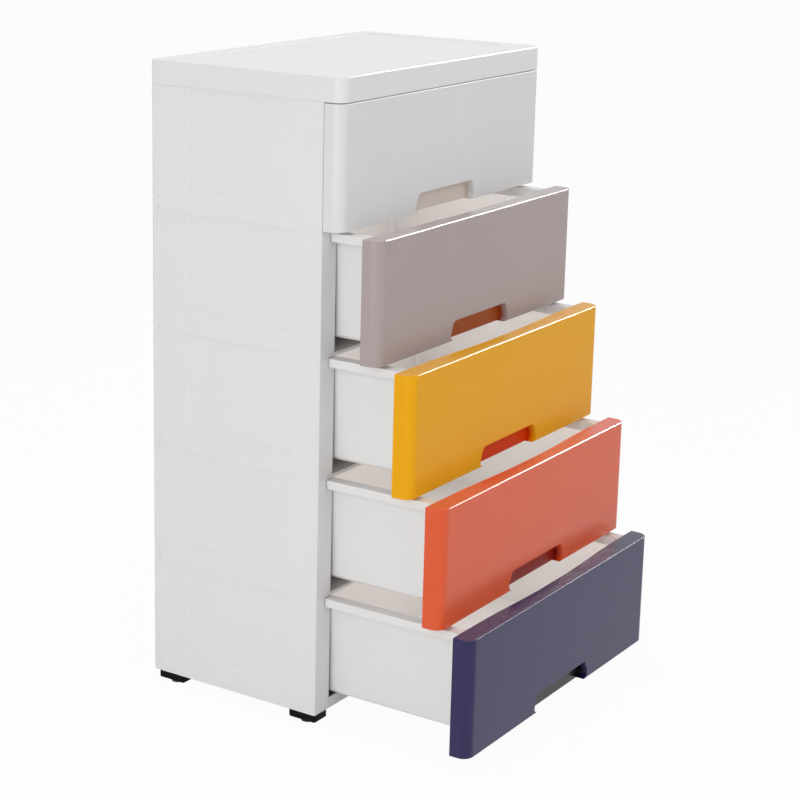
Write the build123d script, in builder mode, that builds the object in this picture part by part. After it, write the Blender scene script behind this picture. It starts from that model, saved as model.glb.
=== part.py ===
"""Free-standing tower of five plastic drawers, shown with four drawers pulled out by growing amounts.

X runs to the right, Y to the back and Z up. The origin lies on the floor, in the middle of the
tower's footprint with its drawers as shown. Millimetres. Tiers are numbered from the top.
"""
import os
from math import atan, degrees

from build123d import *

# Overall form
tower_width = 450.0
tower_depth = 270.0  # from the closed drawer fronts to the back
tier_height = 146.0
lid_height = 29.0
corner_radius = 13.5  # upright corners of the lid and the drawer fronts
drawer_openings = [0.0, 53.0, 99.0, 144.0, 185.0]  # how far each drawer stands out, from the top

# Cabinet sides
side_width = 29.0
side_skin = 3.6
flange = 2.5  # front, rear, upper and lower flanges, and the runner ledge
seat_width = 14.5  # upper flange that carries the next tier
field_margin = 40.0  # plain border in front of and behind the sunk field
field_foot = 27.5
field_head = 2.0
field_recess = 1.5
side_rib_count = 3
rib = 1.8
edge_bevel = 0.8

# Back panels
back_depth = 9.5
back_skin = 2.4
back_corner = 5.0
back_border = 25.0
clip_height = 14.0
clip_reach = 3.0
clip_rise = 1.5

# Divider boards between the tiers, and the base
divider_thickness = 4.0
board_skin = 1.8
board_rim = 16.0
board_bays = (4, 2)
base_rail_height = 13.0
fit_gap = 0.3  # between pieces that slip together

# Tabs that locate the tiers, the lid and the feet
tab_width = 5.0
tab_length = 14.0
tab_height = 8.0
tab_gap = 0.2
tab_inset = 9.2  # from the outer face of the side
boss_wall = 1.6

# Lid
lid_skin = 2.5
lid_border = 20.0
lid_front_border = 45.0
lid_recess = 1.2
lid_rib_height = 9.0
lid_bevel = 1.2

# Feet
foot_width = 26.0
foot_length = 38.0
foot_height = 9.5
foot_corner = 1.5
pad_diameter = 16.0
pad_height = 4.5

# Drawer boxes
box_gap = 2.0  # from the box to the cabinet side at the rim
box_draft = 4.0  # how much each wall leans in from rim to floor
box_wall = 2.0
box_height = 125.0
box_corner = 6.0  # bevel of the tray's upright corners
box_foot_bevel = 4.0
box_rear_gap = 4.0
rim_drop = 1.0  # from the divider to the rim
lip_reach = 13.0
lip_height = 10.0
lip_thickness = 2.0
runner_gap = 0.3

# Drawer fronts
front_depth = 24.0
front_waist = 13.5  # depth of the front where it narrows in the middle
front_wall = 2.5
front_gap = 1.1  # from the tier line to the front
front_rest_gap = 1.0  # from the closed front to the cabinet
shoulder_inset = 30.0  # from the side of the box to where the full depth begins
waist_run = 26.0  # from there to the narrow part
waist_round = 60.0
notch_half = 71.0
notch_top_half = 61.0
notch_height = 24.0
notch_round = 7.0
pocket_wall = 2.0

tier_count = len(drawer_openings)
half_width = tower_width / 2
back_y = (tower_depth + max(drawer_openings)) / 2
closed_y = back_y - tower_depth
frame_y = closed_y + front_depth + front_rest_gap
seam_y = back_y - back_depth
base_z = pad_height + foot_height
half_divider = divider_thickness / 2
inner_x = half_width - side_width
tab_x = half_width - tab_inset
tab_ys = [frame_y + foot_length / 2, seam_y - foot_length / 2]
rim_below_line = half_divider + rim_drop
ledge_below_line = rim_below_line + lip_height + runner_gap
box_half = inner_x - box_gap
lip_half = box_half + lip_reach
shoulder_half = box_half - shoulder_inset
waist_half = shoulder_half - waist_run
groove_half = lip_half + box_gap
box_rear_y = seam_y - flange - box_rear_gap


def tier_floor(tier):
    """Height of the line under a tier."""
    return base_z + tier_height * (tier_count - tier)


def write(part, name):
    """Label one finished piece and save it."""
    part.label = name
    export_step(part, f"parts/{name}.step")


def side_panel(tier, hand):
    """Moulded side tray: outer skin, flanges, runner ledge, ribs, tabs and sunk field; hand is -1 or 1."""
    floor = tier_floor(tier)
    line = floor + tier_height
    ledge = line - ledge_below_line
    pocket_depth = side_width - side_skin
    rear = seam_y - flange
    front = frame_y + flange
    bay = (rear - front - side_rib_count * rib) / (side_rib_count + 1)
    lower_height = ledge - flange - (floor + half_divider + flange)
    lower_middle = floor + half_divider + flange + lower_height / 2
    inner_face = Plane(origin=(-inner_x, 0, 0), x_dir=(0, 1, 0), z_dir=(1, 0, 0))
    outer_face = Plane(origin=(-half_width, 0, 0), x_dir=(0, -1, 0), z_dir=(-1, 0, 0))
    with BuildPart() as panel:
        with BuildSketch(Plane.XY.offset(floor)):
            with Locations((-half_width, frame_y)):
                Rectangle(side_width, seam_y - frame_y, align=(Align.MIN, Align.MIN))
        extrude(amount=tier_height)
        upright = panel.edges().filter_by(Axis.Z).group_by(Axis.X)[0].sort_by(Axis.Y)[0]
        chamfer(upright, length=edge_bevel)
        with BuildSketch(inner_face):
            for number in range(side_rib_count + 1):
                with Locations((front + bay / 2 + number * (bay + rib), lower_middle)):
                    Rectangle(bay, lower_height)
            with Locations((front, ledge)):
                Rectangle(rear - front, ledge_below_line - half_divider - flange, align=(Align.MIN, Align.MIN))
        extrude(amount=-pocket_depth, mode=Mode.SUBTRACT)
        with BuildSketch(Plane.XY.offset(line)):
            with Locations((-half_width + seat_width, front)):
                Rectangle(side_width, rear - front, align=(Align.MIN, Align.MIN))
        extrude(amount=-half_divider - flange, mode=Mode.SUBTRACT)
        with BuildSketch(Plane.XY.offset(line)):
            with Locations((-half_width + side_skin, front)):
                Rectangle(side_width, rear - front, align=(Align.MIN, Align.MIN))
        extrude(amount=-half_divider, mode=Mode.SUBTRACT)
        with BuildSketch(Plane.XY.offset(floor)):
            with Locations((-half_width + side_skin, front)):
                Rectangle(side_width, rear - front, align=(Align.MIN, Align.MIN))
            with Locations((-groove_half, frame_y)):
                Rectangle(side_width, flange, align=(Align.MIN, Align.MIN))
        extrude(amount=half_divider, mode=Mode.SUBTRACT)
        with BuildSketch(Plane.XY.offset(line)):
            with Locations((-groove_half, frame_y)):
                Rectangle(side_width, flange, align=(Align.MIN, Align.MIN))
        extrude(amount=-ledge_below_line, mode=Mode.SUBTRACT)
        with BuildSketch(outer_face):
            field_depth = seam_y - frame_y - 2 * field_margin
            field_height = tier_height - field_foot - field_head
            with Locations((-(frame_y + seam_y) / 2, floor + field_foot + field_height / 2)):
                Rectangle(field_depth, field_height)
        extrude(amount=-field_recess, taper=30, mode=Mode.SUBTRACT)
        with BuildSketch(outer_face):
            with Locations((-seam_y, floor + clip_rise)):
                Rectangle(clip_reach, clip_height, align=(Align.MIN, Align.MIN))
        extrude(amount=-side_skin, mode=Mode.SUBTRACT)
        with BuildSketch(Plane.XY.offset(floor)):
            with Locations(*[(-tab_x, y) for y in tab_ys]):
                Rectangle(tab_width + 2 * tab_gap, tab_length + 2 * tab_gap)
        extrude(amount=half_divider + flange, mode=Mode.SUBTRACT)
        with BuildSketch(Plane.XY.offset(line - half_divider)):
            with Locations(*[(-tab_x, y) for y in tab_ys]):
                Rectangle(tab_width, tab_length)
        extrude(amount=tab_height)
    if hand < 0:
        return panel.part
    return mirror(panel.part, about=Plane.YZ)


def back_panel(tier):
    """Moulded back tray with its edge flush with the sides, a sunk field and a clip tongue each side."""
    floor = tier_floor(tier)
    outer_face = Plane(origin=(0, back_y, 0), x_dir=(-1, 0, 0), z_dir=(0, 1, 0))
    inner_face = Plane(origin=(0, seam_y, 0), x_dir=(1, 0, 0), z_dir=(0, -1, 0))
    middle = floor + tier_height / 2
    with BuildPart() as panel:
        with BuildSketch(Plane.XY.offset(floor)):
            with Locations((0, seam_y)):
                Rectangle(tower_width, back_depth, align=(Align.CENTER, Align.MIN))
        extrude(amount=tier_height)
        fillet(panel.edges().filter_by(Axis.Z).group_by(Axis.Y)[-1], radius=back_corner)
        with BuildSketch(inner_face):
            with Locations((0, middle)):
                with GridLocations(tower_width / 3 - rib, 0, 3, 1):
                    Rectangle(tower_width / 3 - back_corner - rib, tier_height - 2 * flange)
        extrude(amount=-(back_depth - back_skin - field_recess), mode=Mode.SUBTRACT)
        with BuildSketch(outer_face):
            with Locations((0, middle)):
                Rectangle(tower_width - 2 * back_border, tier_height - 2 * back_border)
        extrude(amount=-field_recess, taper=30, mode=Mode.SUBTRACT)
        with BuildSketch(inner_face):
            for hand in (-1, 1):
                with Locations((hand * (half_width - side_skin / 2), floor + clip_rise + clip_height / 2)):
                    Rectangle(side_skin - 2 * fit_gap, clip_height - 2 * fit_gap)
        extrude(amount=clip_reach - fit_gap)
    return panel.part


def board(low, high):
    """Moulded board between the side flanges: slots for the tabs, a front edge, and ribs on its underside."""
    front = frame_y + flange + fit_gap
    rear = seam_y - flange - fit_gap
    across, along = board_bays
    bay_width = (2 * inner_x - 2 * board_rim - (across - 1) * rib) / across
    bay_depth = (rear - front - 2 * board_rim - (along - 1) * rib) / along
    with BuildPart() as plate:
        with BuildSketch(Plane.XY.offset(low)):
            with Locations((0, front)):
                Rectangle(2 * (half_width - side_skin - fit_gap), rear - front, align=(Align.CENTER, Align.MIN))
            with Locations((0, frame_y)):
                Rectangle(2 * (groove_half - fit_gap), flange + 2 * fit_gap, align=(Align.CENTER, Align.MIN))
            with Locations(*[(hand * tab_x, y) for y in tab_ys for hand in (-1, 1)]):
                Rectangle(tab_width + 2 * tab_gap, tab_length + 2 * tab_gap, mode=Mode.SUBTRACT)
        extrude(amount=high - low)
        with BuildSketch(Plane.XY.offset(low)):
            with Locations((0, (front + rear) / 2)):
                with GridLocations(bay_width + rib, bay_depth + rib, across, along):
                    Rectangle(bay_width, bay_depth)
        extrude(amount=high - low - board_skin, mode=Mode.SUBTRACT)
    return plate.part


def base_frame():
    """Bottom board with an upright rail at the front and the rear."""
    with BuildPart() as base:
        add(board(base_z, base_z + half_divider))
        with BuildSketch(Plane.XY.offset(base_z)):
            for y in (frame_y, seam_y - 2 * flange - fit_gap):
                with Locations((0, y)):
                    Rectangle(2 * (inner_x - fit_gap), flange, align=(Align.CENTER, Align.MIN))
        extrude(amount=base_rail_height)
    return base.part


def lid():
    """Hollow lid: rounded front corners, sunk top field, ribs under the top and four bosses for the tabs."""
    low = tier_floor(1) + tier_height
    high = low + lid_height
    inside_half = half_width - lid_skin
    rib_room = tower_depth - 2 * lid_skin
    with BuildPart() as cover:
        with BuildSketch(Plane.XY.offset(low)):
            with Locations((0, closed_y)):
                Rectangle(tower_width, tower_depth, align=(Align.CENTER, Align.MIN))
        extrude(amount=lid_height)
        fillet(cover.edges().filter_by(Axis.Z).group_by(Axis.Y)[0], radius=corner_radius)
        fillet(cover.edges().filter_by(Axis.Z).group_by(Axis.Y)[-1], radius=back_corner)
        chamfer(cover.faces().sort_by(Axis.Z)[-1].edges(), length=lid_bevel)
        with BuildSketch(Plane.XY.offset(low)) as hollow:
            with Locations((0, closed_y + lid_skin)):
                Rectangle(2 * inside_half, rib_room, align=(Align.CENTER, Align.MIN))
            fillet(hollow.vertices().group_by(Axis.Y)[0], radius=corner_radius - lid_skin)
            fillet(hollow.vertices().group_by(Axis.Y)[-1], radius=back_corner - lid_skin)
        extrude(amount=lid_height - lid_skin - lid_recess, mode=Mode.SUBTRACT)
        with BuildSketch(Plane.XY.offset(high)):
            field_front = closed_y + lid_front_border
            field_depth = tower_depth - lid_front_border - lid_border
            with Locations((0, field_front + field_depth / 2)):
                RectangleRounded(tower_width - 2 * lid_border, field_depth, corner_radius)
        extrude(amount=-lid_recess, taper=30, mode=Mode.SUBTRACT)
        with BuildSketch(Plane.XY.offset(high - lid_skin - lid_recess)):
            with Locations((0, closed_y + tower_depth / 2)):
                with GridLocations(tower_width / 4, 0, 3, 1):
                    Rectangle(rib, rib_room)
                with GridLocations(0, tower_depth / 3, 1, 2):
                    Rectangle(2 * inside_half, rib)
        extrude(amount=-lid_rib_height)
        with BuildSketch(Plane.XY.offset(low - half_divider)):
            with Locations(*[(hand * tab_x, y) for y in tab_ys for hand in (-1, 1)]):
                Rectangle(tab_width + 2 * tab_gap + 2 * boss_wall, tab_length + 2 * tab_gap + 2 * boss_wall)
        extrude(amount=lid_height + half_divider - lid_skin - lid_recess)
        with BuildSketch(Plane.XY.offset(low - half_divider)):
            with Locations(*[(hand * tab_x, y) for y in tab_ys for hand in (-1, 1)]):
                Rectangle(tab_width + 2 * tab_gap, tab_length + 2 * tab_gap)
        extrude(amount=tab_height + fit_gap, mode=Mode.SUBTRACT)
    return cover.part


def foot(hand, end):
    """Black block under a corner of the cabinet, with a tab up into the side."""
    y = tab_ys[end]
    with BuildPart() as block:
        with BuildSketch(Plane.XY.offset(pad_height)):
            with Locations((hand * half_width, y)):
                Rectangle(foot_width, foot_length, align=(Align.MAX if hand > 0 else Align.MIN, Align.CENTER))
        extrude(amount=foot_height)
        chamfer(block.edges().filter_by(Axis.Z), length=foot_corner)
        chamfer(block.faces().sort_by(Axis.Z)[0].edges(), length=edge_bevel)
        with BuildSketch(Plane.XY.offset(base_z)):
            with Locations((hand * tab_x, y)):
                Rectangle(tab_width, tab_length)
        extrude(amount=tab_height)
    return block.part


def foot_pad(hand, end):
    """Round rubber pad under the middle of a foot."""
    with BuildPart() as pad:
        with BuildSketch(Plane.XY):
            with Locations((hand * (half_width - foot_width / 2), tab_ys[end])):
                Circle(pad_diameter / 2)
        extrude(amount=pad_height)
    return pad.part


def waisted_edge(shift, inset):
    """Points of a front edge that swells forward in the middle, from left to right."""
    end_y = closed_y + front_depth - shift + inset
    waist_y = closed_y + front_waist - shift + inset
    return [(-shoulder_half, end_y), (-waist_half, waist_y), (waist_half, waist_y), (shoulder_half, end_y)]


def box_outline(shift, inset):
    """Plan of the drawer box at its rim, moved out by shift and drawn in by inset."""
    half = box_half - inset
    edge = waisted_edge(shift, inset)
    rear = box_rear_y - shift - inset
    with BuildSketch() as plan:
        with BuildLine():
            Polyline((-half, rear), (-half, edge[0][1]), *edge, (half, edge[0][1]), (half, rear), close=True)
        make_face()
        outer = plan.vertices().filter_by(lambda v: abs(v.X) > shoulder_half + box_corner)
        inner = plan.vertices().filter_by(lambda v: abs(v.X) < shoulder_half + box_corner)
        chamfer(outer, length=box_corner - max(inset, 0) / 2)
        fillet(inner, radius=waist_round)
    return plan.sketch


def leaning_block(rim, shift, inset, depth, bevel):
    """Solid that leans in from the rim's plan down to a bevelled foot."""
    with BuildPart() as block:
        with BuildSketch(Plane.XY.offset(rim)):
            add(box_outline(shift, inset))
        extrude(amount=-depth, taper=degrees(atan(box_draft / box_height)))
        chamfer(block.faces().sort_by(Axis.Z)[0].edges(), length=bevel)
    return block.part


def drawer_box(tier, shift):
    """Drawer tray with leaning walls, hanging lips at both sides and the plate that carries its front."""
    floor = tier_floor(tier)
    rim = floor + tier_height - rim_below_line
    plate_half = half_width - front_wall - fit_gap
    plate_back = closed_y + front_depth - shift
    lip_length = box_rear_y - shift - plate_back - box_corner
    with BuildPart() as tray:
        add(leaning_block(rim, shift, 0, box_height, box_foot_bevel))
        with BuildSketch(Plane.XY.offset(floor + front_gap + front_wall + fit_gap)):
            with Locations((0, plate_back)):
                Rectangle(2 * plate_half, flange, align=(Align.CENTER, Align.MAX))
        extrude(amount=tier_height - 2 * (front_gap + front_wall + fit_gap))
        with BuildSketch(Plane.XY.offset(rim)):
            with Locations((0, plate_back)):
                Rectangle(2 * lip_half, lip_length, align=(Align.CENTER, Align.MIN))
        extrude(amount=-lip_thickness)
        with BuildSketch(Plane.XY.offset(rim)):
            for hand in (-1, 1):
                with Locations((hand * (lip_half - lip_thickness / 2), plate_back)):
                    Rectangle(lip_thickness, lip_length, align=(Align.CENTER, Align.MIN))
        extrude(amount=-lip_height)
        add(leaning_block(rim, shift, box_wall, box_height - box_wall, box_foot_bevel - box_wall / 2), mode=Mode.SUBTRACT)
    return tray.part


def notch_outline(grow):
    """Handle notch seen from the front, drawn about the front's lower edge and grown all round."""
    with BuildSketch(Plane.XZ) as notch:
        with BuildLine():
            Polyline((-notch_half - grow, 0), (-notch_top_half - grow, notch_height + grow),
                     (notch_top_half + grow, notch_height + grow), (notch_half + grow, 0), close=True)
        make_face()
        if grow == 0:
            fillet(notch.vertices().group_by(Axis.Z)[-1], radius=notch_round)
    return notch.sketch


def drawer_front(tier, shift):
    """Coloured shell over the drawer's plate, waisted along its top, with a handle pocket in its lower edge."""
    floor = tier_floor(tier)
    low = floor + front_gap
    high = floor + tier_height - front_gap
    face_y = closed_y - shift
    pocket_depth = front_waist - fit_gap
    with BuildPart() as front:
        with BuildSketch(Plane.XY.offset(low)):
            with Locations((0, face_y)):
                Rectangle(tower_width, front_depth, align=(Align.CENTER, Align.MIN))
        extrude(amount=high - low)
        fillet(front.edges().filter_by(Axis.Z).group_by(Axis.Y)[0], radius=corner_radius)
        rims = front.faces().filter_by(Plane.XY).edges().filter_by(lambda e: e.center().Y < face_y + front_depth - 1)
        chamfer(rims, length=edge_bevel)
        with BuildSketch(Plane.XY.offset(low + front_wall)) as hollow:
            with Locations((0, face_y + front_wall)):
                Rectangle(tower_width - 2 * front_wall, front_depth, align=(Align.CENTER, Align.MIN))
            fillet(hollow.vertices().group_by(Axis.Y)[0], radius=corner_radius - front_wall)
        extrude(amount=high - low - 2 * front_wall, mode=Mode.SUBTRACT)
        with BuildSketch(Plane.XY.offset(low)):
            add(box_outline(shift, -fit_gap))
        extrude(amount=high - low, mode=Mode.SUBTRACT)
        with BuildSketch(Plane.XZ.offset(-face_y - front_wall).shift_origin((0, face_y + front_wall, low))):
            add(notch_outline(pocket_wall))
        extrude(amount=-(pocket_depth - front_wall))
        with BuildSketch(Plane.XZ.offset(-face_y).shift_origin((0, face_y, low))):
            add(notch_outline(0))
        extrude(amount=-(pocket_depth - pocket_wall), mode=Mode.SUBTRACT)
    return front.part


os.makedirs("parts", exist_ok=True)
write(lid(), "lid")
for tier in range(1, tier_count + 1):
    write(side_panel(tier, -1), f"side_left_{tier}")
    write(side_panel(tier, 1), f"side_right_{tier}")
    write(back_panel(tier), f"back_panel_{tier}")
    opening = drawer_openings[tier - 1]
    write(drawer_box(tier, opening), f"drawer_box_{tier}")
    write(drawer_front(tier, opening), f"drawer_front_{tier}")
for tier in range(1, tier_count):
    line = tier_floor(tier)
    write(board(line - half_divider, line + half_divider), f"divider_{tier}")
write(base_frame(), "base_frame")
for end, end_name in enumerate(("front", "rear")):
    for hand, hand_name in ((-1, "left"), (1, "right")):
        write(foot(hand, end), f"foot_{end_name}_{hand_name}")
        write(foot_pad(hand, end), f"foot_pad_{end_name}_{hand_name}")
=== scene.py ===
import math

import bpy
from mathutils import Matrix, Vector


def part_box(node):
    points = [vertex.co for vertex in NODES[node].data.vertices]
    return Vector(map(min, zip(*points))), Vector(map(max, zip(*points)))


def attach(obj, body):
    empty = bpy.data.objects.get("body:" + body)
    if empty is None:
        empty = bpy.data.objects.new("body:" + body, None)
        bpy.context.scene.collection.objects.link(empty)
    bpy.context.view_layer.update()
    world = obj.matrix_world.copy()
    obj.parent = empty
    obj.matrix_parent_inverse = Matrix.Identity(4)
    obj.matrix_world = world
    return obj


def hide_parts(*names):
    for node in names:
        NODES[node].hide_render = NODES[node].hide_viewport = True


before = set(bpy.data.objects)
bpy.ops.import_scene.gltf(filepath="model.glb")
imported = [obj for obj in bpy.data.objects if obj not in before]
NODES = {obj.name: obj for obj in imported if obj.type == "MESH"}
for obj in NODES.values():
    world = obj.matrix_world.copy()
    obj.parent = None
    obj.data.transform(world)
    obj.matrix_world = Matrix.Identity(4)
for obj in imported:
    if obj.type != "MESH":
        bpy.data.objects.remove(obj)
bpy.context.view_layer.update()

bl_info = {
    "name": "Drawer tower",
    "version": (1, 0, 0),
    "blender": (4, 5, 0),
    "location": "View3D > Sidebar > Drawer tower",
    "description": "Finishes and dresses a five-drawer plastic tower on its packed frame",
    "category": "Object",
}

TIERS = range(1, 6)
CABINET = "cabinet"

# Fronts from the top tier down: the colour's name and how strongly the plastic reflects
FRONTS = (("white", 0.35), ("mauve", 0.34), ("yellow", 0.13), ("coral", 0.48), ("navy", 0.36))

FLOW_CLOUDS = 0.02  # how far the flow of a moulding lightens and darkens its colour

# Finger pocket in a front's lower edge, and the painted shade on its far wall
POCKET_HALF = 0.0735  # half length
POCKET_HEIGHT = 0.0265
POCKET_SHADE_START = 0.003  # where its painted shade starts, behind the front's face
POCKET_SHADE_FULL = 0.010  # where the painted shade is deepest

# Waist of the imported front and tray: straight runs joined by arcs, lengths from the middle
FRONT_DEPTH = 0.024
WAIST_DROP = 0.0105  # how much shallower the front is in its middle
WAIST = 0.138  # half length of the narrow middle
SHOULDER = 0.164  # where the front has its full depth
WAIST_ROUND = 0.060  # radius of the arcs

# The longer sweep that takes its place
SWEEP_START = 0.020  # from the middle to where the depth starts to grow
SWEEP_END = SHOULDER + 0.0117
SWEEP_LIMIT = SHOULDER + 0.012  # nothing past this moves
CUT_STEP = 0.011  # between the cuts that let the long edges bend
CUTS_EACH_WAY = 16
FRONT_REACH = (-0.0004, 0.0001)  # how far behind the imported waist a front's moved points lie
TRAY_REACH = (-0.0001, 0.0098)  # how far behind it a tray's moved points lie

# The skirt under a tray's front wall, which stays in place
TRAY_SKIRT = (0.0215, 0.0240)  # from the front's face to the skirt's two sides
SKIRT_TOP = 0.0210  # above the tray's foot
TRAY_BEVEL = 0.0180  # where the front wall's lower bevel starts, above the tray's foot
SKIRT_MARGIN = 0.0001

# Clean-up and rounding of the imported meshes
MERGE_DISTANCE = 0.00002
FLAT_ANGLE = math.radians(0.4)  # faces that meet at less are one face
EDGE_ANGLE = math.radians(28.0)  # edges sharper than this are rounded
SMOOTH_ANGLE = math.radians(46.0)
FLAT_WEIGHT = 90  # how strongly large faces keep their own direction

# Stage
PLAIN_WHITE = (1.0, 1.0, 1.0, 1.0)
FLOOR_SIZE = 80.0
FLOOR_WHITE = 0.95  # share of the floor that shows plain white; the rest takes the shadow
LAMP_AIM = (0.0, 0.0, 0.40)
TRAY_LAMP_INSET = (0.056, 0.028)  # how much smaller a tray's lamp is than the tray, across and along
TRAY_LAMP_BACK = 0.004  # behind the tray's middle
TRAY_LAMP_DROP = 0.012  # below the tray's rim
TRAY_LAMP_COLOUR = (1.0, 0.94, 0.91)
SENSOR_WIDTH = 36.0
LID_BOSS_DROP = 0.002  # the lid's bosses reach this far below its skirt


# ---------------------------------------------------------------- shader arithmetic

class Wire:
    """A number flowing through a node tree, which can be used in plain arithmetic."""

    def __init__(self, nodes, socket):
        self.nodes = nodes
        self.socket = socket

    def _math(self, operation, first, second):
        return self.nodes.node("ShaderNodeMath", {"operation": operation}, {0: first, 1: second})

    def __add__(self, other):
        return self._math("ADD", self, other)

    __radd__ = __add__

    def __sub__(self, other):
        return self._math("SUBTRACT", self, other)

    def __rsub__(self, other):
        return self._math("SUBTRACT", other, self)

    def __mul__(self, other):
        return self._math("MULTIPLY", self, other)

    __rmul__ = __mul__

    def __gt__(self, other):
        return self._math("GREATER_THAN", self, other)

    def __lt__(self, other):
        return self._math("LESS_THAN", self, other)

    def clamped(self):
        """This number, kept between 0 and 1."""
        return self.nodes.node("ShaderNodeClamp", {}, {0: self})


class Nodes:
    """A node tree and short ways to add to it."""

    def __init__(self, tree):
        self.tree = tree

    def link(self, value, socket):
        """Lead a wire to a node's input, or set a value there."""
        if isinstance(value, Wire):
            self.tree.links.new(value.socket, socket)
        else:
            socket.default_value = value

    def node(self, kind, settings, inputs, output=0):
        """Add one node: its settings first, then values or wires on its inputs. Gives one output's wire."""
        made = self.tree.nodes.new(kind)
        for key, value in settings.items():
            setattr(made, key, value)
        for key, value in inputs.items():
            self.link(value, made.inputs[key])
        return Wire(self, made.outputs[output])

    def plainly_seen(self):
        """1 to the camera, in reflections and through clear things, or else 0."""
        rays = ("Is Camera Ray", "Is Glossy Ray", "Is Transmission Ray")
        direct, mirrored, through = (self.node("ShaderNodeLightPath", {}, {}, output=ray) for ray in rays)
        return (direct + mirrored + through).clamped()


class Finish(Nodes):
    """One material and short ways to work out its looks."""

    def __init__(self, name):
        self.material = bpy.data.materials.new(name)
        self.material.use_nodes = True
        super().__init__(self.material.node_tree)
        self.shader = self.tree.nodes["Principled BSDF"]
        self.place = self.node("ShaderNodeTexCoord", {}, {}, output="Object")

    def noise(self, scale, detail, stretch=(1.0, 1.0, 1.0)):
        """Soft unevenness on the object's own coordinates, from 0 to 1."""
        mapped = self.node("ShaderNodeMapping", {}, {"Vector": self.place, "Scale": stretch})
        return self.node("ShaderNodeTexNoise", {}, {"Vector": mapped, "Scale": scale, "Detail": detail})

    def blend(self, factor, first, second):
        """Mix two colours by a factor."""
        return self.node("ShaderNodeMix", {"data_type": "RGBA"}, {0: factor, 6: first, 7: second}, output=2)

    def pocket_shade_mask(self, low, high):
        """Mask for painted shade that grows from the front of a box to its back and is nought beside, above
        and before it.
        """
        inputs = {"Vector": self.place}
        across, along, up = (self.node("ShaderNodeSeparateXYZ", {}, inputs, output=axis) for axis in "XYZ")
        depth = ((along - low[1]) * (1.0 / (high[1] - low[1]))).clamped()
        return depth * (across > low[0]) * (across < high[0]) * (up < high[2])

    def feed(self, **inputs):
        """Wire or set the shader's inputs; underscores stand for spaces."""
        for key, value in inputs.items():
            self.link(value, self.shader.inputs[key.replace("_", " ")])

    def bump(self, height, strength, distance):
        """Wire a height into the shader's normal."""
        made = self.node("ShaderNodeBump", {}, {"Strength": strength, "Distance": distance, "Height": height})
        self.feed(Normal=made)


def shade(colour, factor):
    """A colour made lighter or darker, opaque."""
    return tuple(min(1.0, channel * factor) for channel in colour[:3]) + (1.0,)


def moulded_plastic(name, colour, roughness, gloss=0.4, pocket_shade=None):
    """Injection-moulded plastic: slight flow clouds in the colour, a fine grain and uneven gloss.

    A pocket is the lowest and the highest corner of a box, and the painted shade, with painted bounced light,
    that its far wall takes, deepest at the back.
    """
    finish = Finish(name)
    clouds = finish.noise(scale=5.0, detail=3.0)
    flow = finish.noise(scale=18.0, detail=2.0, stretch=(1.0, 1.0, 0.25))
    fine = finish.noise(scale=2200.0, detail=1.0)
    mottle = clouds * 0.6 + flow * 0.4
    tint = finish.blend(mottle, shade(colour, 1.0 - FLOW_CLOUDS), shade(colour, 1.0 + FLOW_CLOUDS))
    # Painted shade and painted bounced light, deepening towards the back of the handle pocket
    if pocket_shade:
        tint = finish.blend(finish.pocket_shade_mask(*pocket_shade[:2]), tint, pocket_shade[2])
    finish.feed(Base_Color=tint)
    finish.feed(Roughness=(clouds - 0.5) * 0.10 + (fine - 0.5) * 0.06 + roughness)
    finish.feed(IOR=1.49, Specular_IOR_Level=gloss)
    finish.bump(fine * 0.5 + flow * 0.5, strength=0.10, distance=0.00006)
    return finish.material


def moulded_rubber(name, colour):
    """Dull black moulding with a coarse grain and a little dust."""
    finish = Finish(name)
    dust = finish.noise(scale=60.0, detail=4.0)
    grain = finish.noise(scale=1600.0, detail=2.0)
    finish.feed(Base_Color=finish.blend(dust * 0.5, shade(colour, 1.0), shade(colour, 2.2)))
    finish.feed(Roughness=dust * 0.2 + 0.5)
    finish.bump(grain, strength=0.3, distance=0.0001)
    return finish.material


def pale_floor(name, colour):
    """Plain pale floor: white to the camera and in reflections, and it keeps the object's shadow."""
    finish = Finish(name)
    finish.feed(Base_Color=colour, Roughness=0.9, Specular_IOR_Level=0.0)
    plain = finish.node("ShaderNodeEmission", {}, {"Color": PLAIN_WHITE})
    shaded = Wire(finish, finish.shader.outputs[0])
    factor = finish.plainly_seen() * FLOOR_WHITE
    mixed = finish.node("ShaderNodeMixShader", {}, {0: factor, 1: shaded, 2: plain})
    finish.link(mixed, finish.tree.nodes["Material Output"].inputs["Surface"])
    return finish.material


# ---------------------------------------------------------------- settings

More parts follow.
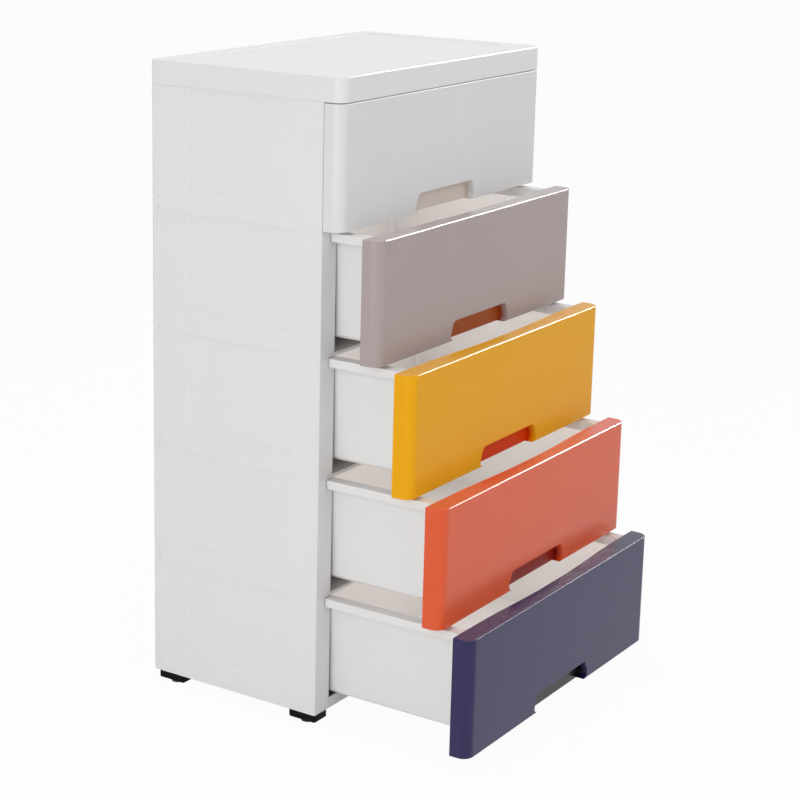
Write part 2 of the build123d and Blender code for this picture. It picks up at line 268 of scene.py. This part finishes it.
class TowerColours(bpy.types.PropertyGroup):
    """Colours of the mouldings, and the painted shade with painted bounced light in the handle pockets,
    linear.
    """

    cabinet: bpy.props.FloatVectorProperty(
        name="Cabinet", description="White plastic of the sides, back and lid",
        subtype="COLOR", size=4, min=0.0, max=1.0, default=(0.80, 0.80, 0.805, 1.0))
    tray: bpy.props.FloatVectorProperty(
        name="Trays", description="Warm white plastic of the drawer trays",
        subtype="COLOR", size=4, min=0.0, max=1.0, default=(0.82, 0.81, 0.80, 1.0))
    front_1: bpy.props.FloatVectorProperty(
        name="Top front", description="White front of the top drawer",
        subtype="COLOR", size=4, min=0.0, max=1.0, default=(0.76, 0.76, 0.765, 1.0))
    front_2: bpy.props.FloatVectorProperty(
        name="Second front", description="Mauve front",
        subtype="COLOR", size=4, min=0.0, max=1.0, default=(0.430, 0.355, 0.350, 1.0))
    front_3: bpy.props.FloatVectorProperty(
        name="Third front", description="Yellow front",
        subtype="COLOR", size=4, min=0.0, max=1.0, default=(0.885, 0.412, 0.005, 1.0))
    front_4: bpy.props.FloatVectorProperty(
        name="Fourth front", description="Coral front",
        subtype="COLOR", size=4, min=0.0, max=1.0, default=(0.77, 0.092, 0.017, 1.0))
    front_5: bpy.props.FloatVectorProperty(
        name="Bottom front", description="Navy front",
        subtype="COLOR", size=4, min=0.0, max=1.0, default=(0.020, 0.015, 0.086, 1.0))
    # Painted shade and painted bounced light on the far walls of the handle pockets, not the plastic's own
    # colour
    pocket_1: bpy.props.FloatVectorProperty(
        name="Top pocket", description="Far wall of the white handle pocket",
        subtype="COLOR", size=4, min=0.0, max=1.0, default=(0.74, 0.66, 0.60, 1.0))
    pocket_2: bpy.props.FloatVectorProperty(
        name="Second pocket", description="Far wall of the mauve handle pocket",
        subtype="COLOR", size=4, min=0.0, max=1.0, default=(0.40, 0.075, 0.008, 1.0))
    pocket_3: bpy.props.FloatVectorProperty(
        name="Third pocket", description="Far wall of the yellow handle pocket",
        subtype="COLOR", size=4, min=0.0, max=1.0, default=(0.72, 0.046, 0.000, 1.0))
    pocket_4: bpy.props.FloatVectorProperty(
        name="Fourth pocket", description="Far wall of the coral handle pocket",
        subtype="COLOR", size=4, min=0.0, max=1.0, default=(0.28, 0.005, 0.002, 1.0))
    pocket_5: bpy.props.FloatVectorProperty(
        name="Bottom pocket", description="Far wall of the navy handle pocket",
        subtype="COLOR", size=4, min=0.0, max=1.0, default=(0.002, 0.002, 0.004, 1.0))
    foot: bpy.props.FloatVectorProperty(
        name="Feet", description="Black plastic of the feet",
        subtype="COLOR", size=4, min=0.0, max=1.0, default=(0.005, 0.005, 0.006, 1.0))
    floor: bpy.props.FloatVectorProperty(
        name="Floor", description="Pale floor",
        subtype="COLOR", size=4, min=0.0, max=1.0, default=(0.88, 0.88, 0.88, 1.0))


class TowerEdges(bpy.types.PropertyGroup):
    """How far the mouldings' edges are rounded."""

    cabinet: bpy.props.FloatProperty(
        name="Cabinet edges", description="Rounding of the sides, back, boards and base",
        subtype="DISTANCE", unit="LENGTH", min=0.0, default=0.0005)
    lid: bpy.props.FloatProperty(
        name="Lid edges", description="Rounding that softens the lid's bevel",
        subtype="DISTANCE", unit="LENGTH", min=0.0, default=0.0006)
    front: bpy.props.FloatProperty(
        name="Front edges", description="Rounding that softens the bevel of the drawer fronts",
        subtype="DISTANCE", unit="LENGTH", min=0.0, default=0.0005)
    tray: bpy.props.FloatProperty(
        name="Tray edges", description="Rounding of the trays' rims, lips and corners",
        subtype="DISTANCE", unit="LENGTH", min=0.0, default=0.0007)
    waist: bpy.props.FloatProperty(
        name="Front waist", description="Depth of a drawer front at its middle",
        subtype="DISTANCE", unit="LENGTH", min=0.0135, max=0.024, default=0.0185)
    foot: bpy.props.FloatProperty(
        name="Foot edges", description="Rounding of the foot blocks and pads",
        subtype="DISTANCE", unit="LENGTH", min=0.0, default=0.0006)


class TowerView(bpy.types.PropertyGroup):
    """Camera that matches the photograph's angle, and the lamps."""

    azimuth: bpy.props.FloatProperty(
        name="Azimuth", description="How far the camera stands round to the left of the front",
        subtype="ANGLE", unit="ROTATION", default=math.radians(56.194))
    elevation: bpy.props.FloatProperty(
        name="Elevation", description="How far the camera looks down",
        subtype="ANGLE", unit="ROTATION", default=math.radians(14.366))
    roll: bpy.props.FloatProperty(
        name="Roll", description="Tilt of the camera about its own axis",
        subtype="ANGLE", unit="ROTATION", default=math.radians(1.007))
    distance: bpy.props.FloatProperty(
        name="Distance", description="From the camera to the point it turns about",
        subtype="DISTANCE", unit="LENGTH", default=2.3033)
    aim_x: bpy.props.FloatProperty(
        name="Aim X", description="Sideways place, on the fronts' plane, of the point the camera turns about",
        subtype="DISTANCE", unit="LENGTH", default=-0.22424)
    aim_drop: bpy.props.FloatProperty(
        name="Aim below lid", description="How far that point lies below the lid's lower edge",
        subtype="DISTANCE", unit="LENGTH", default=0.27517)
    lens: bpy.props.FloatProperty(
        name="Lens", description="Focal length in millimetres", unit="CAMERA", default=92.096)
    shift_x: bpy.props.FloatProperty(
        name="Shift X", description="Sideways shift of the frame", subtype="FACTOR", default=0.07633)
    shift_y: bpy.props.FloatProperty(
        name="Shift Y", description="Upward shift of the frame", subtype="FACTOR", default=-0.06478)
    key: bpy.props.FloatProperty(
        name="Key lamp", description="Power of the lamp on the left",
        subtype="POWER", unit="POWER", min=0.0, default=30.0)
    top: bpy.props.FloatProperty(
        name="Top lamp", description="Power of the lamp overhead",
        subtype="POWER", unit="POWER", min=0.0, default=21.5)
    fill: bpy.props.FloatProperty(
        name="Front lamp", description="Power of the lamp in front",
        subtype="POWER", unit="POWER", min=0.0, default=18.5)
    glint: bpy.props.FloatProperty(
        name="Glint lamp", description="Power of the narrow lamp on the right that shines on the edges",
        subtype="POWER", unit="POWER", min=0.0, default=80.0)
    tray: bpy.props.FloatProperty(
        name="Tray lamps", description="Power of the weak lamp in each drawer",
        subtype="POWER", unit="POWER", min=0.0, default=0.19)
    world: bpy.props.FloatProperty(
        name="Room light", description="Strength of the light all round", min=0.0, default=0.40)


# ---------------------------------------------------------------- operators

def pick_only(piece):
    """Leave one piece selected and active."""
    bpy.ops.object.select_all(action="DESELECT")
    piece.select_set(True)
    bpy.context.view_layer.objects.active = piece


def clean_copy(node):
    """Copy of a CAD node with its loose triangles merged into whole faces."""
    piece = bpy.data.objects.new(f"{node}_moulding", NODES[node].data.copy())
    bpy.context.scene.collection.objects.link(piece)
    pick_only(piece)
    bpy.ops.object.mode_set(mode="EDIT")
    bpy.ops.mesh.select_all(action="SELECT")
    bpy.ops.mesh.remove_doubles(threshold=MERGE_DISTANCE)
    bpy.ops.mesh.dissolve_limited(angle_limit=FLAT_ANGLE)
    bpy.ops.object.mode_set(mode="OBJECT")
    return piece


def finish_moulding(piece, node, body, material, width, segments=2):
    """Round a piece's edges, keep its flat faces flat, and let it stand for its node."""
    pick_only(piece)
    rounding = piece.modifiers.new("rounded edges", "BEVEL")
    rounding.width = width
    rounding.segments = segments
    rounding.limit_method = "ANGLE"
    rounding.angle_limit = EDGE_ANGLE
    rounding.use_clamp_overlap = True
    bpy.ops.object.modifier_apply(modifier=rounding.name)
    bpy.ops.object.shade_smooth_by_angle(angle=SMOOTH_ANGLE)
    weighted = piece.modifiers.new("flat faces stay flat", "WEIGHTED_NORMAL")
    weighted.keep_sharp = True
    weighted.weight = FLAT_WEIGHT
    bpy.ops.object.modifier_apply(modifier=weighted.name)
    piece.data.materials.clear()
    piece.data.materials.append(material)
    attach(piece, body)
    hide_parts(node)


def moulding(node, body, material, width, segments=2):
    """Round the edges of a clean copy of a CAD node, and let it stand for the node."""
    finish_moulding(clean_copy(node), node, body, material, width, segments)


def cut_across(piece, places):
    """Cut a piece by upright planes across its width, so that its long edges can bend there."""
    pick_only(piece)
    bpy.ops.object.mode_set(mode="EDIT")
    for place in places:
        bpy.ops.mesh.select_all(action="SELECT")
        bpy.ops.mesh.bisect(plane_co=(place, 0.0, 0.0), plane_no=(1.0, 0.0, 0.0))
    bpy.ops.object.mode_set(mode="OBJECT")


def packed_waist(x):
    """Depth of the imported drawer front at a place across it: straight runs joined by arcs."""
    across = abs(x)
    turn = math.atan2(WAIST_DROP, SHOULDER - WAIST)
    reach = WAIST_ROUND * math.tan(turn / 2.0)
    if across >= SHOULDER + reach:
        return FRONT_DEPTH
    if across > SHOULDER - reach * math.cos(turn):
        swing = SHOULDER + reach - across
        return FRONT_DEPTH - WAIST_ROUND + math.sqrt(WAIST_ROUND ** 2 - swing ** 2)
    if across >= WAIST + reach * math.cos(turn):
        return FRONT_DEPTH - (SHOULDER - across) * math.tan(turn)
    if across > WAIST - reach:
        swing = across - WAIST + reach
        return FRONT_DEPTH - WAIST_DROP + WAIST_ROUND - math.sqrt(WAIST_ROUND ** 2 - swing ** 2)
    return FRONT_DEPTH - WAIST_DROP


def eased_waist(x, depth):
    """Depth of the dressed drawer front at a place across it: one long, shallow sweep."""
    across = min(max((abs(x) - SWEEP_START) / (SWEEP_END - SWEEP_START), 0.0), 1.0)
    return FRONT_DEPTH - (FRONT_DEPTH - depth) * (0.5 + 0.5 * math.cos(math.pi * across))


def in_skirt(place, face, foot):
    """Whether a point belongs to the skirt and the lower bevel under a tray's front wall."""
    on_side = any(abs(place.y - face - side) < SKIRT_MARGIN for side in TRAY_SKIRT)
    return place.z < foot + (SKIRT_TOP if on_side else TRAY_BEVEL)


def ease_waist(piece, face, depth, reach, foot=None):
    """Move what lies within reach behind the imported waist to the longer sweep.

    On a tray, whose foot is given, the skirt under the front wall stays where it is.
    """
    cut_across(piece, [CUT_STEP * step for step in range(-CUTS_EACH_WAY, CUTS_EACH_WAY + 1)])
    for vertex in piece.data.vertices:
        place = vertex.co
        behind = place.y - face - packed_waist(place.x)
        if abs(place.x) > SWEEP_LIMIT or not reach[0] < behind < reach[1]:
            continue
        if foot is not None and in_skirt(place, face, foot):
            continue
        place.y = face + eased_waist(place.x, depth) + behind


class TOWER_OT_cabinet(bpy.types.Operator):
    """Mould the cabinet's sides, back, boards and base in white plastic"""

    bl_idname = "tower.cabinet"
    bl_label = "Cabinet"

    def execute(self, context):
        white = moulded_plastic("white cabinet plastic", context.scene.tower_colours.cabinet, roughness=0.36)
        sides = [f"side_{hand}_{tier}" for tier in TIERS for hand in ("left", "right")]
        backs = [f"back_panel_{tier}" for tier in TIERS]
        boards = [name for name in NODES if name.startswith("divider_")]
        for node in sides + backs + boards + ["base_frame"]:
            moulding(node, CABINET, white, context.scene.tower_edges.cabinet)
        return {"FINISHED"}


class TOWER_OT_lid(bpy.types.Operator):
    """Mould the lid in white plastic with a softened edge"""

    bl_idname = "tower.lid"
    bl_label = "Lid"

    def execute(self, context):
        white = moulded_plastic("white lid plastic", context.scene.tower_colours.cabinet, roughness=0.30)
        moulding("lid", CABINET, white, context.scene.tower_edges.lid, segments=3)
        return {"FINISHED"}


class TOWER_OT_feet(bpy.types.Operator):
    """Mould the feet in black plastic and rubber"""

    bl_idname = "tower.feet"
    bl_label = "Feet"

    def execute(self, context):
        width = context.scene.tower_edges.foot
        black = context.scene.tower_colours.foot
        block = moulded_plastic("black foot plastic", black, roughness=0.5, gloss=0.06)
        rubber = moulded_rubber("black pad rubber", black)
        for node in [name for name in NODES if name.startswith("foot_")]:
            if node.startswith("foot_pad_"):
                moulding(node, CABINET, rubber, width)
            else:
                moulding(node, CABINET, block, width)
        return {"FINISHED"}


class TOWER_OT_trays(bpy.types.Operator):
    """Mould the drawer trays in thin warm white plastic"""

    bl_idname = "tower.trays"
    bl_label = "Drawer trays"

    def execute(self, context):
        tray = moulded_plastic("warm white tray plastic", context.scene.tower_colours.tray, roughness=0.34)
        edges = context.scene.tower_edges
        for tier in TIERS:
            node = f"drawer_box_{tier}"
            piece = clean_copy(node)
            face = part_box(f"drawer_front_{tier}")[0][1]
            ease_waist(piece, face, edges.waist, TRAY_REACH, foot=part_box(node)[0][2])
            finish_moulding(piece, node, f"drawer_{tier}", tray, edges.tray)
        return {"FINISHED"}


class TOWER_OT_fronts(bpy.types.Operator):
    """Mould the drawer fronts, each in its own colour"""

    bl_idname = "tower.fronts"
    bl_label = "Drawer fronts"

    def execute(self, context):
        colours, edges = context.scene.tower_colours, context.scene.tower_edges
        for tier, (name, gloss) in zip(TIERS, FRONTS):
            node = f"drawer_front_{tier}"
            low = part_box(node)[0]
            # The handle pocket's box, and the painted shade with painted bounced light on its far wall
            pocket_shade = ((-POCKET_HALF, low[1] + POCKET_SHADE_START, low[2]),
                      (POCKET_HALF, low[1] + POCKET_SHADE_FULL, low[2] + POCKET_HEIGHT),
                      getattr(colours, f"pocket_{tier}"))
            material = moulded_plastic(f"{name} front plastic", getattr(colours, f"front_{tier}"),
                                       roughness=0.26, gloss=gloss, pocket_shade=pocket_shade)
            piece = clean_copy(node)
            ease_waist(piece, low[1], edges.waist, FRONT_REACH)
            finish_moulding(piece, node, f"drawer_{tier}", material, edges.front, segments=3)
        return {"FINISHED"}


def area_lamp(name, power, size, place, aim):
    """Soft rectangular lamp that points at a place."""
    light = bpy.data.lights.new(name, "AREA")
    light.shape = "RECTANGLE"
    light.size, light.size_y = size
    light.energy = power
    lamp = bpy.data.objects.new(name, light)
    bpy.context.scene.collection.objects.link(lamp)
    lamp.location = place
    lamp.rotation_euler = (Vector(aim) - Vector(place)).to_track_quat("-Z", "Y").to_euler()
    return lamp


class TOWER_OT_stage(bpy.types.Operator):
    """Lay the floor and set the lamps, the room light and the camera"""

    bl_idname = "tower.stage"
    bl_label = "Stage"

    def execute(self, context):
        view = context.scene.tower_view
        bpy.ops.object.select_all(action="DESELECT")
        bpy.ops.mesh.primitive_plane_add(size=FLOOR_SIZE, location=(0.0, 0.0, 0.0))
        floor = context.object
        floor.name = "floor"
        floor.data.materials.append(pale_floor("pale floor", context.scene.tower_colours.floor))
        area_lamp("key", view.key, size=(1.8, 2.2), place=(-2.8, -0.4, 0.95), aim=LAMP_AIM)
        area_lamp("top", view.top, size=(2.4, 2.4), place=(0.0, 0.2, 2.8), aim=LAMP_AIM)
        area_lamp("front", view.fill, size=(2.2, 2.0), place=(0.3, -2.5, 1.9), aim=LAMP_AIM)
        glint = area_lamp("glint", view.glint, size=(0.2, 1.1), place=(2.0, -0.7, 1.55), aim=LAMP_AIM)
        glint.visible_diffuse = False
        for tier in TIERS:
            self.tray_lamp(tier, view.tray)
        self.room(context, view.world)
        self.camera(context, view)
        context.scene.view_settings.view_transform = "Standard"
        return {"FINISHED"}

    def tray_lamp(self, tier, power):
        """Weak unseen lamp that moves with a drawer and stands for the light its pale walls pass on."""
        low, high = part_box(f"drawer_box_{tier}")
        middle = ((low[0] + high[0]) / 2, (low[1] + high[1]) / 2 + TRAY_LAMP_BACK)
        size = (high[0] - low[0] - TRAY_LAMP_INSET[0], high[1] - low[1] - TRAY_LAMP_INSET[1])
        place = (*middle, high[2] - TRAY_LAMP_DROP)
        lamp = area_lamp(f"tray lamp {tier}", power, size, place, aim=(*middle, low[2]))
        lamp.data.color = TRAY_LAMP_COLOUR
        lamp.visible_camera = False
        lamp.visible_glossy = False
        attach(lamp, f"drawer_{tier}")

    def room(self, context, strength):
        """White to the camera and in reflections, and a soft even light otherwise."""
        world = bpy.data.worlds.new("room")
        context.scene.world = world
        world.use_nodes = True
        nodes = Nodes(world.node_tree)
        level = nodes.node("ShaderNodeMix", {}, {0: nodes.plainly_seen(), 2: strength, 3: 1.0})
        background = world.node_tree.nodes["Background"]
        nodes.link(level, background.inputs["Strength"])
        nodes.link(PLAIN_WHITE, background.inputs["Color"])

    def camera(self, context, view):
        """Camera at the photograph's angle, turned about a point on the closed fronts' plane."""
        low, high = (Vector(corner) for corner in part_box("lid"))
        aim = Vector((view.aim_x, low.y, low.z + LID_BOSS_DROP - view.aim_drop))
        forward = Vector((math.sin(view.azimuth) * math.cos(view.elevation),
                          math.cos(view.azimuth) * math.cos(view.elevation), -math.sin(view.elevation)))
        right = Vector((math.cos(view.azimuth), -math.sin(view.azimuth), 0.0))
        up = right.cross(forward)
        turned_right = right * math.cos(view.roll) + up * math.sin(view.roll)
        turned_up = up * math.cos(view.roll) - right * math.sin(view.roll)
        data = bpy.data.cameras.new("camera")
        data.lens = view.lens
        data.sensor_width = SENSOR_WIDTH
        data.shift_x = view.shift_x
        data.shift_y = view.shift_y
        camera = bpy.data.objects.new("camera", data)
        context.scene.collection.objects.link(camera)
        place = aim - forward * view.distance
        turn = Matrix((turned_right, turned_up, -forward)).transposed()
        camera.matrix_world = Matrix.Translation(place) @ turn.to_4x4()
        context.scene.camera = camera


class TOWER_PT_panel(bpy.types.Panel):
    """Lists the tower's operators and settings"""

    bl_label = "Drawer tower"
    bl_idname = "TOWER_PT_panel"
    bl_space_type = "VIEW_3D"
    bl_region_type = "UI"
    bl_category = "Drawer tower"

    def draw(self, context):
        column = self.layout.column()
        for operator in OPERATORS:
            column.operator(operator.bl_idname)
        for group in (context.scene.tower_colours, context.scene.tower_edges, context.scene.tower_view):
            for name in type(group).__annotations__:
                column.prop(group, name)


OPERATORS = (TOWER_OT_cabinet, TOWER_OT_lid, TOWER_OT_feet, TOWER_OT_trays, TOWER_OT_fronts, TOWER_OT_stage)
CLASSES = (TowerColours, TowerEdges, TowerView) + OPERATORS + (TOWER_PT_panel,)


def register():
    for cls in CLASSES:
        bpy.utils.register_class(cls)
    bpy.types.Scene.tower_colours = bpy.props.PointerProperty(type=TowerColours)
    bpy.types.Scene.tower_edges = bpy.props.PointerProperty(type=TowerEdges)
    bpy.types.Scene.tower_view = bpy.props.PointerProperty(type=TowerView)


def unregister():
    del bpy.types.Scene.tower_view
    del bpy.types.Scene.tower_edges
    del bpy.types.Scene.tower_colours
    for cls in reversed(CLASSES):
        bpy.utils.unregister_class(cls)


def main():
    """Register the tools and run them in order."""
    register()
    bpy.ops.tower.cabinet()
    bpy.ops.tower.lid()
    bpy.ops.tower.feet()
    bpy.ops.tower.trays()
    bpy.ops.tower.fronts()
    bpy.ops.tower.stage()


if __name__ == "__main__":
    main()
